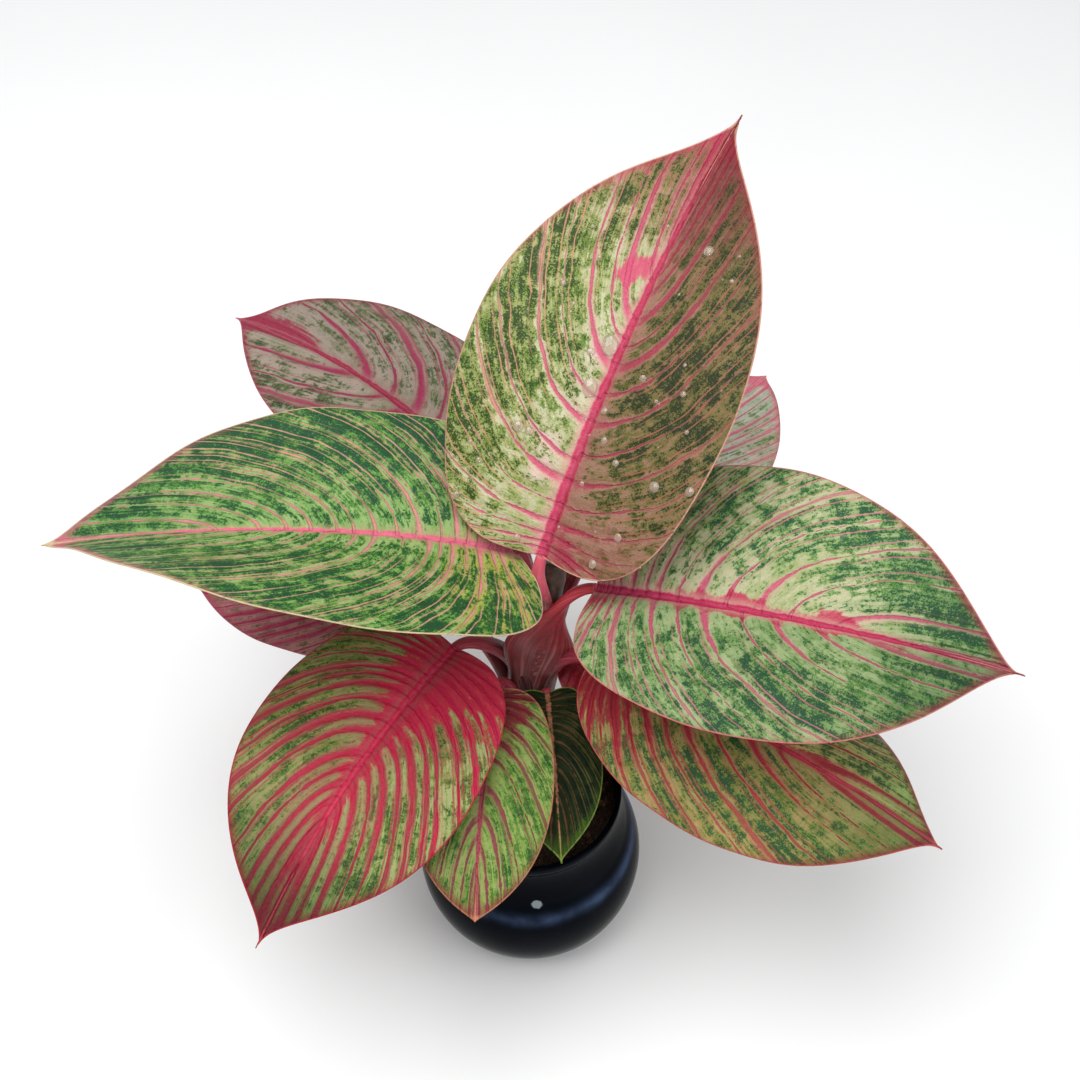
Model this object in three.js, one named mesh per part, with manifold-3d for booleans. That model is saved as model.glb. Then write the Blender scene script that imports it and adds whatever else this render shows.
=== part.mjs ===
import * as THREE from 'three';
import { mergeVertices } from 'three/addons/utils/BufferGeometryUtils.js';
import Module from 'manifold-3d';

// A potted chinese evergreen (aglaonema): a round glossy pot filled with mix, a short cane,
// and eleven leaves, each a blade on its own clasping stalk.
// Millimetres and degrees, +Z up. The origin is the middle of the pot's resting face.

const wasm = await Module();
wasm.setup();

// Driving dimensions

const gap = 0.34; // air left between pieces that touch

const pot = {
  bellyRadius: 66,
  bellyHeight: 47, // middle of the round belly above the ground
  wall: 1.8,
  floor: 3,
  footInner: 40,
  footOuter: 45,
  recess: 3, // hollow under the floor, round the middle pad
  padRadius: 14,
  shoulderHeight: 80, // the round belly runs into the straighter neck here
  neckRadius: 51.2,
  neckHeight: 108,
  lipRadius: 52.6,
  height: 117,
  drainHoles: 8,
  drainRadius: 3,
  drainCircle: 27,
  sideFoot: 2, // lowest of the heights that the side is faceted at, and their step
  sideStep: 10.4,
  segments: 36,
};

const soil = {
  height: 106, // top of the mix at the pot's wall
  crown: 3, // how far it is heaped up round the cane
  relief: 1.3, // height of its lumps
  rings: 6,
};

const cane = {
  // middle line from inside the mix to the growing tip
  line: [[0, 10, 88], [0, 14, 110], [0, 26, 138], [1, 38, 165], [5, 50, 188], [10, 63, 208], [14, 76, 224]],
  footRadius: 10,
  tipRadius: 7.5,
};

const blade = {
  thickness: 0.9,
  rib: 2.2, // depth of the midrib under the blade at its base
  rows: 13,
  columns: [0, 0.05, 0.3, 0.6, 0.86, 1], // shares of the way from midrib to margin
  veinBend: 1.8,
};

const stalk = {
  endRadius: 3, // where it meets the blade
  sheathWidth: 11.5, // half width where it clasps the cane
  sheathDepth: 6.5,
  offset: 7, // middle of the sheath beside the cane's middle
  wingPlace: 0.34, // share of the stalk's length where a winged sheath is widest
  sides: 9,
  steps: 9,
};

// Each leaf: base is where the blade meets its stalk, heading is the way it points in plan
// (0 along +X, 90 along +Y) and sweep how far that turns towards the tip. pitch is its rise at
// the base and droop how much of that is lost at the tip; roll and twist turn it about its
// midrib. left and right are the half widths, fold lifts both halves into a valley, curl turns
// the margins down, fullness sets where it is widest, lobe how far the base reaches back, and
// point how drawn out the tip is. from is where on the cane its stalk starts, 0 foot to 1 tip,
// and rise and reach are how far the stalk runs on before it bends. facing, where it is given,
// is the side of the cane that the sheath stands on, and wing how far its margins stand out.
const leaves = [
  {
    name: 'top', base: [7, 63, 246],
    heading: 62, sweep: -7, pitch: 49, droop: 22, roll: 0, twist: 4,
    length: 253, left: 77, right: 72, fold: 0.17, curl: 0.01, fullness: 1.42, lobe: 0.02, point: 3.5,
    from: 0.8, rise: 22, reach: 16, facing: -125, color: 0x93a06a,
  },
  {
    name: 'right', base: [36, 57, 226],
    heading: -21, sweep: 9, pitch: 16, droop: 27, roll: 4, twist: 22,
    length: 224, left: 80, right: 73, fold: 0.24, curl: 0.08, fullness: 1.51, lobe: 0.01, point: 3.2,
    from: 0.5, rise: 44, reach: 18, facing: -98, wing: 13, color: 0x8fb083,
  },
  {
    name: 'left', base: [-7, 74.7, 236],
    heading: 185, sweep: 1, pitch: 21, droop: 27, roll: -5, twist: 28,
    length: 246, left: 85, right: 77, fold: 0.33, curl: 0.07, fullness: 1.33, lobe: 0.07, point: 2.4,
    from: 0.7, rise: 30, reach: 8, facing: 190, color: 0x5f8f4e,
  },
  {
    name: 'back_right', base: [40, 108, 206],
    heading: 50, sweep: 2, pitch: 12, droop: 24, roll: 0, twist: 2,
    length: 174, left: 49, right: 50, fold: 0.11, curl: 0.26, fullness: 1.24, lobe: 0.06, point: 1.9,
    from: 0.66, rise: 20, reach: 22, color: 0x9fb08a,
  },
  {
    name: 'back_left', base: [-20, 133, 220],
    heading: 133, sweep: 12, pitch: 14, droop: 27, roll: -1, twist: -5,
    length: 225, left: 59, right: 63, fold: 0.15, curl: 0.16, fullness: 1.38, lobe: 0.06, point: 2.3,
    from: 0.6, rise: 26, reach: 26, color: 0x9aa585,
  },
  {
    name: 'lower_left', base: [-40, 41, 194],
    heading: -127, sweep: 9, pitch: 0, droop: 30, roll: -2, twist: -16,
    length: 187, left: 61, right: 63, fold: 0.14, curl: 0.13, fullness: 1.31, lobe: 0.02, point: 3.5,
    from: 0.56, rise: 22, reach: 12, color: 0xb5546a,
  },
  {
    name: 'lower_right', base: [34, 36, 190],
    heading: -27, sweep: -2, pitch: 4, droop: 27, roll: 0, twist: 3,
    length: 209, left: 59, right: 60, fold: 0.07, curl: 0.41, fullness: 1.21, lobe: 0.01, point: 2.7,
    from: 0.52, rise: 24, reach: 10, color: 0x9c8a55,
  },
  {
    name: 'under_left', base: [-50, 75, 184],
    heading: 161, sweep: 5, pitch: 3, droop: 25, roll: 0, twist: -2,
    length: 166, left: 46, right: 46, fold: 0.1, curl: 0.3, fullness: 1.34, lobe: 0.06, point: 2.1,
    from: 0.42, rise: 22, reach: 18, color: 0xa06a70,
  },
  {
    name: 'front', base: [-17, 21, 183],
    heading: -99, sweep: 8, pitch: -7, droop: 26, roll: 0, twist: -1,
    length: 123, left: 37, right: 37, fold: 0.11, curl: 0.21, fullness: 1.15, lobe: 0.04, point: 1.2,
    from: 0.36, rise: 16, reach: 17, color: 0x9aa552,
  },
  {
    name: 'inner_small', base: [25, 54, 169],
    heading: -54, sweep: -4, pitch: -5, droop: 24, roll: 0, twist: -1,
    length: 69, left: 19, right: 19, fold: 0.13, curl: 0.22, fullness: 1.26, lobe: 0.06, point: 1.8,
    from: 0.34, rise: 12, reach: 15, color: 0xa8404e,
  },
  {
    name: 'front_small', base: [10, 22, 178],
    heading: -84, sweep: -2, pitch: -13, droop: 18, roll: 0, twist: 1,
    length: 91, left: 26, right: 25, fold: 0.12, curl: 0.19, fullness: 1.28, lobe: 0.06, point: 2.4,
    from: 0.24, rise: 24, reach: 7, color: 0x33573a,
  },
];

const colors = { pot: 0x11161f, soil: 0x2b1d15, cane: 0x8c6a54, stalk: 0xc7607a };

// Solids: a closed mesh as a manifold solid, and back

const toSolid = (geometry) => {
  const bare = geometry.index ? geometry.clone() : geometry;
  bare.deleteAttribute('normal');
  bare.deleteAttribute('uv');
  const merged = mergeVertices(bare, 1e-4);
  return new wasm.Manifold(new wasm.Mesh({
    numProp: 3,
    vertProperties: new Float32Array(merged.attributes.position.array),
    triVerts: new Uint32Array(merged.index.array),
  }));
};

const toGeometry = (solid) => {
  const mesh = solid.getMesh();
  const geometry = new THREE.BufferGeometry();
  geometry.setAttribute('position', new THREE.BufferAttribute(mesh.vertProperties, 3));
  geometry.setIndex(new THREE.BufferAttribute(mesh.triVerts, 1));
  return geometry;
};

// Cuts the tools out of a solid and keeps its largest piece.
const cutBy = (solid, tools) => {
  const rest = tools.reduce((left, tool) => left.subtract(tool), solid);
  const pieces = rest.decompose();
  return pieces.reduce((best, piece) => (piece.volume() > best.volume() ? piece : best));
};

// Pot and mix

// Outer radius of the pot's side at a height: the belly's arc, then a smooth neck.
const potRadius = (z) => {
  const arc = (h) => Math.sqrt(pot.bellyRadius ** 2 - (h - pot.bellyHeight) ** 2);
  if (z <= pot.shoulderHeight) return arc(z);
  const t = (z - pot.shoulderHeight) / (pot.neckHeight - pot.shoulderHeight);
  return THREE.MathUtils.lerp(arc(pot.shoulderHeight), pot.neckRadius, Math.sin(t * Math.PI / 2));
};

// Points up the side between two heights, for a wall set in by some distance. The heights are
// the same for every wall, so that the facets of the pot and the mix lie side by side.
const sidePoints = (from, to, inset) => {
  const points = [];
  for (let z = pot.sideFoot; z <= to; z += pot.sideStep) {
    if (z >= from) points.push([potRadius(z) - inset, z]);
  }
  return points;
};

const lathe = (points) => {
  const profile = points.map(([r, z]) => new THREE.Vector2(r, z));
  const geometry = new THREE.LatheGeometry(profile, pot.segments);
  return geometry.rotateX(Math.PI / 2);
};

function makePot() {
  const floorTop = pot.recess + pot.floor;
  const outer = lathe([
    [0, 0], [pot.padRadius, 0], [pot.padRadius + 1, pot.recess],
    [pot.footInner - 1, pot.recess], [pot.footInner, 0], [pot.footOuter, 0],
    ...sidePoints(pot.sideFoot, pot.neckHeight, 0),
    [pot.neckRadius, pot.neckHeight], [pot.lipRadius, pot.neckHeight + 3],
    [pot.lipRadius, pot.height - 1.5], [pot.lipRadius - 1.2, pot.height],
    [pot.neckRadius - pot.wall, pot.height],
    ...sidePoints(floorTop + 2, pot.neckHeight, pot.wall).reverse(),
    [potRadius(floorTop) - pot.wall - 2, floorTop], [0, floorTop],
  ]);
  const holes = [];
  for (let i = 0; i < pot.drainHoles; i += 1) {
    const turn = (i / pot.drainHoles) * 2 * Math.PI;
    const hole = new THREE.CylinderGeometry(pot.drainRadius, pot.drainRadius, 3 * pot.floor, 12);
    hole.rotateX(Math.PI / 2);
    hole.translate(pot.drainCircle * Math.cos(turn), pot.drainCircle * Math.sin(turn), floorTop - 1);
    holes.push(toSolid(hole));
  }
  return cutBy(toSolid(outer), holes);
}

// Lumps of the mix's top, from a few crossed waves.
const lump = (x, y) => soil.relief * (
  Math.sin(0.55 * x + 0.4 * Math.sin(0.31 * y)) * Math.cos(0.47 * y + 0.5)
  + 0.5 * Math.sin(0.9 * y + 0.33 * x));

function makeSoil(caneHole) {
  const inset = pot.wall + gap;
  const bottom = pot.recess + pot.floor + gap;
  const edge = potRadius(soil.height) - inset;
  const top = [];
  for (let i = 1; i <= soil.rings; i += 1) {
    const r = edge * (1 - i / soil.rings);
    top.push([r, soil.height + soil.crown * (1 - (r / edge) ** 2)]);
  }
  const profile = [
    [0, bottom], [potRadius(bottom) - inset - 2.5, bottom],
    ...sidePoints(bottom + 2, soil.height, inset), ...top,
  ];
  const geometry = mergeVertices(lathe(profile).deleteAttribute('normal').deleteAttribute('uv'), 1e-3);
  const at = geometry.attributes.position;
  for (let i = 0; i < at.count; i += 1) {
    const isTop = at.getZ(i) > soil.height + 1e-3;
    if (isTop) at.setZ(i, at.getZ(i) + lump(at.getX(i), at.getY(i)));
  }
  return cutBy(toSolid(geometry), [caneHole]);
}

// Cane and stalks: a closed cylinder bent along a curve

// sideAt(t) is the direction of each ring's width, and radii(t) its half width and half depth.
// grow thickens the result all round and past both ends.
const bend = (curve, sideAt, radii, grow, sides, steps) => {
  const geometry = new THREE.CylinderGeometry(1, 1, 1, sides, steps);
  const at = geometry.attributes.position;
  const normal = new THREE.Vector3();
  for (let i = 0; i < at.count; i += 1) {
    const t = THREE.MathUtils.clamp(at.getY(i) + 0.5, 0, 1);
    const along = curve.getTangent(t);
    const side = sideAt(t);
    const across = side.clone().addScaledVector(along, -side.dot(along)).normalize();
    normal.crossVectors(across, along);
    const [width, depth] = radii(t);
    const point = curve.getPoint(t).addScaledVector(across, at.getX(i) * (width + grow));
    point.addScaledVector(normal, at.getZ(i) * (depth + grow));
    if (t === 0 || t === 1) point.addScaledVector(along, (2 * t - 1) * grow);
    at.setXYZ(i, point.x, point.y, point.z);
  }
  return toSolid(geometry);
};

const caneCurve = new THREE.CatmullRomCurve3(cane.line.map((p) => new THREE.Vector3(...p)));

const makeCane = (grow) => bend(caneCurve, () => new THREE.Vector3(1, 0, 0), (t) => {
  const radius = THREE.MathUtils.lerp(cane.footRadius, cane.tipRadius, t);
  return [radius, radius];
}, grow, 14, 12);

// Leaves

const radians = THREE.MathUtils.degToRad;

// Unit vectors along the midrib, across to the left, and up out of the blade.
const leafFrame = (leaf, t) => {
  const heading = radians(leaf.heading + leaf.sweep * t);
  const pitch = radians(leaf.pitch - leaf.droop * t);
  const roll = radians(leaf.roll + leaf.twist * t);
  const along = new THREE.Vector3(
    Math.cos(pitch) * Math.cos(heading), Math.cos(pitch) * Math.sin(heading), Math.sin(pitch));
  const level = new THREE.Vector3(-Math.sin(heading), Math.cos(heading), 0);
  const upright = new THREE.Vector3().crossVectors(along, level);
  const across = level.clone().multiplyScalar(Math.cos(roll)).addScaledVector(upright, Math.sin(roll));
  const up = upright.multiplyScalar(Math.cos(roll)).addScaledVector(level, -Math.sin(roll));
  return { along, across, up };
};

// Point on the midrib, walked from the base in short steps.
const midrib = (leaf, t) => {
  const steps = 12;
  const point = new THREE.Vector3(...leaf.base);
  for (let i = 0; i < steps; i += 1) {
    point.addScaledVector(leafFrame(leaf, t * (i + 0.5) / steps).along, leaf.length * t / steps);
  }
  return point;
};

// A blade is crossed by veins, numbered v from 0 at the base to 1 at the tip. Each leaves the
// midrib at one place and reaches the margin further on; s goes from 0 at the midrib to 1 there.
const veinPoint = (leaf, v, s, side) => {
  const turn = Math.PI * v;
  const marginAlong = (0.5 * (1 - Math.cos(turn))) ** leaf.fullness
    - leaf.lobe * Math.sin(Math.PI * Math.min(1, v / 0.46));
  const marginOut = Math.abs(Math.sin(turn)) ** (1 + leaf.point * v ** 4);
  const start = 0.15 * v + 0.85 * v ** 2.8;
  const t = THREE.MathUtils.lerp(start, marginAlong, s ** blade.veinBend);
  const out = marginOut * s;
  const width = side > 0 ? leaf.left : leaf.right;
  const { across, up } = leafFrame(leaf, t);
  const point = midrib(leaf, t).addScaledVector(across, side * width * out);
  return { point: point.addScaledVector(up, width * (leaf.fold * out - leaf.curl * out * out)), up };
};

function makeBlade(leaf) {
  const positions = [];
  const faces = [];
  const rows = Math.max(9, Math.round(blade.rows * Math.min(1, leaf.length / 150)));
  const shares = blade.columns;
  const half = blade.thickness / 2;
  // Each place on the blade has a vertex on its upper face and one on its lower face.
  const addPlace = (v, s, side) => {
    const { point, up } = veinPoint(leaf, v, s, side);
    const rib = s < 0.02 ? 1 : s < 0.1 ? 0.4 : 0;
    const depth = half + blade.rib * rib * (1 - 0.8 * v) * Math.min(1, leaf.length / 150);
    const above = point.clone().addScaledVector(up, half);
    const below = point.clone().addScaledVector(up, -depth);
    positions.push(above.x, above.y, above.z, below.x, below.y, below.z);
    return positions.length / 3 - 2;
  };
  const base = addPlace(0, 0, 1);
  const tip = addPlace(1, 0, 1);
  const grid = [];
  for (let row = 1; row < rows; row += 1) {
    const v = row / rows;
    const middle = addPlace(v, 0, 1);
    const line = [middle];
    for (const s of shares.slice(1)) {
      line.push(addPlace(v, s, 1));
      line.unshift(addPlace(v, s, -1));
    }
    grid.push(line);
  }
  // One triangle of the upper face, with its twin on the lower face.
  const addPair = (a, b, c) => faces.push(a, b, c, a + 1, c + 1, b + 1);
  const last = grid[0].length - 1;
  for (let i = 0; i < last; i += 1) {
    addPair(base, grid[0][i], grid[0][i + 1]);
    addPair(tip, grid[rows - 2][i + 1], grid[rows - 2][i]);
    for (let row = 0; row < rows - 2; row += 1) {
      const [a, b] = [grid[row][i], grid[row][i + 1]];
      const [c, d] = [grid[row + 1][i], grid[row + 1][i + 1]];
      addPair(a, c, b);
      addPair(b, c, d);
    }
  }
  // The rim, walked once round the margin.
  const rightSide = grid.map((line) => line[0]);
  const leftSide = grid.map((line) => line[last]);
  const ring = [base, ...rightSide, tip, ...leftSide.reverse()];
  ring.forEach((a, i) => {
    const b = ring[(i + 1) % ring.length];
    faces.push(a, a + 1, b, b, a + 1, b + 1);
  });
  const geometry = new THREE.BufferGeometry();
  geometry.setAttribute('position', new THREE.Float32BufferAttribute(positions, 3));
  geometry.setIndex(faces);
  return toSolid(geometry);
}

function makeStalk(leaf, grow) {
  const start = caneCurve.getPoint(leaf.from);
  const upCane = caneCurve.getTangent(leaf.from);
  const base = new THREE.Vector3(...leaf.base);
  const { along: ahead, across } = leafFrame(leaf, 0);
  // The sheath stands on the side of the cane that the leaf grows towards, or on the side given.
  const outward = base.clone().sub(start).setZ(0).normalize().add(ahead.clone().setZ(0)).normalize();
  if (leaf.facing) outward.set(Math.cos(radians(leaf.facing)), Math.sin(radians(leaf.facing)), 0);
  const foot = start.addScaledVector(outward, stalk.offset);
  const end = base.addScaledVector(ahead, -gap);
  const curve = new THREE.CubicBezierCurve3(
    foot, foot.clone().addScaledVector(upCane, leaf.rise),
    end.clone().addScaledVector(ahead, -leaf.reach), end);
  const size = Math.min(1, 0.55 + leaf.length / 400);
  // The sheath's width lies round the cane and turns to lie across the blade.
  const side = new THREE.Vector3(-outward.y, outward.x, 0);
  if (side.dot(across) < 0) side.negate();
  return bend(curve, (t) => side.clone().lerp(across, t), (t) => {
    const fade = (1 - t) ** 1.6;
    const endRadius = stalk.endRadius * size;
    const wing = (leaf.wing ?? 0) * Math.exp(-(((t - stalk.wingPlace) / 0.16) ** 2));
    return [
      THREE.MathUtils.lerp(endRadius, stalk.sheathWidth * size, fade) + wing,
      THREE.MathUtils.lerp(endRadius, stalk.sheathDepth * size, fade),
    ];
  }, grow, stalk.sides, stalk.steps);
}

// Assembly

const plant = new THREE.Group();

const addPiece = (name, solid, color, roughness) => {
  const material = new THREE.MeshStandardMaterial({ color, roughness, metalness: 0 });
  const mesh = new THREE.Mesh(toGeometry(solid), material);
  mesh.name = name;
  plant.add(mesh);
};

addPiece('pot', makePot(), colors.pot, 0.25);
addPiece('soil', makeSoil(makeCane(gap)), colors.soil, 0.95);
addPiece('cane', makeCane(0), colors.cane, 0.7);

// From the growing tip down, each sheath clasps the cane and the sheaths inside it.
const inner = [makeCane(gap)];
for (const leaf of leaves) {
  addPiece(`petiole_${leaf.name}`, cutBy(makeStalk(leaf, 0), inner), colors.stalk, 0.5);
  inner.push(makeStalk(leaf, gap));
  addPiece(`blade_${leaf.name}`, cutBy(makeBlade(leaf), [makeStalk(leaf, gap)]), leaf.color, 0.45);
}

export default plant;
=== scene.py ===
import math
import random

import bmesh
import bpy
import numpy as np
from mathutils import Matrix, Vector


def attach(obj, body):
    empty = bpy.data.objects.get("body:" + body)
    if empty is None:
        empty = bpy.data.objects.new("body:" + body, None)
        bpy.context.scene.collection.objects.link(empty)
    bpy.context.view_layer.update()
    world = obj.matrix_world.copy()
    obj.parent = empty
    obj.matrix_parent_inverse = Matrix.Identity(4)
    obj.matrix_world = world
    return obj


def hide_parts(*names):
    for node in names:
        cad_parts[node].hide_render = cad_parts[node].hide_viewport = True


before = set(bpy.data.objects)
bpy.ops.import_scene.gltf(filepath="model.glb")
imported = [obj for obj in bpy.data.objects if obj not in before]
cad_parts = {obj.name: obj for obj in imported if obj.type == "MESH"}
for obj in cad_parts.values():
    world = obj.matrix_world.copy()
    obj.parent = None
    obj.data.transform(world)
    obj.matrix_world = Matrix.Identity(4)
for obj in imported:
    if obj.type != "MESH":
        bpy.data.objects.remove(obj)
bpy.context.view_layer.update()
print("frame loaded:", len(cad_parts), "nodes")

mm = 0.001


# Material helpers

# Linear colour of a screen colour such as 0xffc080
def tint(code):
    channels = []
    for shift in (16, 8, 0):
        share = (code >> shift & 255) / 255
        channels.append(share / 12.92 if share <= 0.04045 else ((share + 0.055) / 1.055) ** 2.4)
    return (*channels, 1.0)


def isSocket(value):
    return isinstance(value, bpy.types.NodeSocket)


# Links a node's inputs to the sockets among the values, and sets the others
def feed(node, inputs):
    for key, value in inputs.items():
        if isSocket(value):
            node.id_data.links.new(value, node.inputs[key])
        else:
            node.inputs[key].default_value = value
    return node


# A node in the tree that its inputs come from
def addNode(kind, inputs, **settings):
    tree = next(value.id_data for value in inputs.values() if isSocket(value))
    node = tree.nodes.new("ShaderNode" + kind)
    for key, value in settings.items():
        setattr(node, key, value)
    return feed(node, inputs)


def newMaterial(name):
    material = bpy.data.materials.new(name)
    material.use_nodes = True
    return material, material.node_tree


def finishMaterial(material, inputs):
    feed(material.node_tree.nodes["Principled BSDF"], inputs)
    return material


def attribute(tree, name):
    node = tree.nodes.new("ShaderNodeAttribute")
    node.attribute_name = name
    return node.outputs["Fac"]


def ownCoordinate(tree, place=(0.0, 0.0, 0.0), scale=(1.0, 1.0, 1.0)):
    coordinate = tree.nodes.new("ShaderNodeTexCoord").outputs["Object"]
    return addNode("Mapping", {"Vector": coordinate, "Location": place, "Scale": scale}).outputs[0]


def calc(operation, *values):
    return addNode("Math", dict(enumerate(values)), operation=operation).outputs[0]


def add(*values):
    total = values[0]
    for value in values[1:]:
        total = calc("ADD", total, value)
    return total


def times(*values):
    total = values[0]
    for value in values[1:]:
        total = calc("MULTIPLY", total, value)
    return total


def minus(a, b):
    return calc("SUBTRACT", a, b)


# A noise brought from 0 to 1 to either side of 0, with its strength
def centred(value, strength):
    return times(minus(value, 0.5), strength)


# 0 below low, 1 above high, smooth between
def rise(value, low, high):
    inputs = {"Value": value, "From Min": low, "From Max": high}
    return addNode("MapRange", inputs, interpolation_type="SMOOTHSTEP").outputs["Result"]


def fall(value, low, high):
    return minus(1.0, rise(value, low, high))


def noise(vector, scale, detail=2.0, roughness=0.5, distortion=0.0):
    inputs = {"Vector": vector, "Scale": scale, "Detail": detail, "Roughness": roughness,
              "Distortion": distortion}
    return addNode("TexNoise", inputs).outputs[0]


# Mix of two colours, each one a socket or a screen colour
def blend(factor, a, b, mode="MIX"):
    a, b = (tint(color) if isinstance(color, int) else color for color in (a, b))
    return addNode("Mix", {0: factor, 6: a, 7: b}, data_type="RGBA", blend_type=mode).outputs[2]


def layer(below, factor, top, amount):
    return blend(times(factor, amount), below, top)


def bump(height, distance, strength):
    return addNode("Bump", {"Height": height, "Distance": distance, "Strength": strength}).outputs[0]


# Piece helpers

def unit(vectors):
    return vectors / np.maximum(np.linalg.norm(vectors, axis=-1, keepdims=True), 1e-9)


def meshFrom(bm, name):
    mesh = bpy.data.meshes.new(name)
    bm.to_mesh(mesh)
    bm.free()
    return mesh


def addObject(name, data):
    thing = bpy.data.objects.new(name, data)
    bpy.context.scene.collection.objects.link(thing)
    return thing


def finishPiece(bm, name, node, materials, smooth=True):
    mesh = meshFrom(bm, name)
    if smooth:
        mesh.shade_smooth()
    else:
        mesh.shade_flat()
    piece = addObject(name, mesh)
    for material in materials:
        mesh.materials.append(material)
    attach(piece, "root")
    if node:
        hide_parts(node)
    return piece


# A flat grid whose columns run round or across and whose rows run along: its vertices carry
# their shares across and along, so that a shape can be given to them afterwards.
def startGrid(columns, rows):
    bm = bmesh.new()
    bmesh.ops.create_grid(bm, x_segments=columns, y_segments=rows, size=0.5, calc_uvs=False)
    shareAcross = bm.verts.layers.float.new("shareAcross")
    shareAlong = bm.verts.layers.float.new("shareAlong")
    for vert in bm.verts:
        vert[shareAcross] = vert.co.x + 0.5
        vert[shareAlong] = vert.co.y + 0.5
    return bm


def gridShares(bm):
    shareAcross = bm.verts.layers.float["shareAcross"]
    shareAlong = bm.verts.layers.float["shareAlong"]
    across = np.array([vert[shareAcross] for vert in bm.verts])
    along = np.array([vert[shareAlong] for vert in bm.verts])
    return across, along


def placeVerts(bm, points):
    for vert, point in zip(bm.verts, points):
        vert.co = point


# Leaves

bladeForm = {
    "thickness": 0.9 * mm,
    "rib": 2.2 * mm,        # depth and width of the midrib under the blade
    "ribFull": 150,         # length from which a blade has the full midrib
    "veinBend": 1.8,        # how far a vein runs out from the midrib before it turns to the tip
    "veinSweep": 0.06,      # how far it bends on towards the tip as it nears the margin
    "channel": 1.3 * mm,    # how far the midrib sinks into the upper face
    "quilt": 0.1,           # how far the blade puffs up between veins, as a share of their spacing
    "widestPuff": 14 * mm,  # no spacing counts for more
    "wave": 1.3 * mm,       # slow waves along the margins
    "waveTurns": (17, 41),  # a broad wave and a short one, in radians from base to tip
    "columns": (40, 64),    # grid of the smallest blade, and what a blade of the full length adds
    "rows": (50, 110),
    "fullLength": 250,
    "crowding": 1.25,       # how the columns crowd towards the midrib
}

# What a leaf has unless it says otherwise
plainLeaf = dict(
    roll=0, rightPaintedShade=0xffffff, tipPaintedShadeAndTint=0xffffff, bladePaintedShade=0xffffff, gloss=0.27,
    floodMarks=[], greenMarks=[], streakAndSheenMarks=[], patchMarks=[],
)
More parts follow.
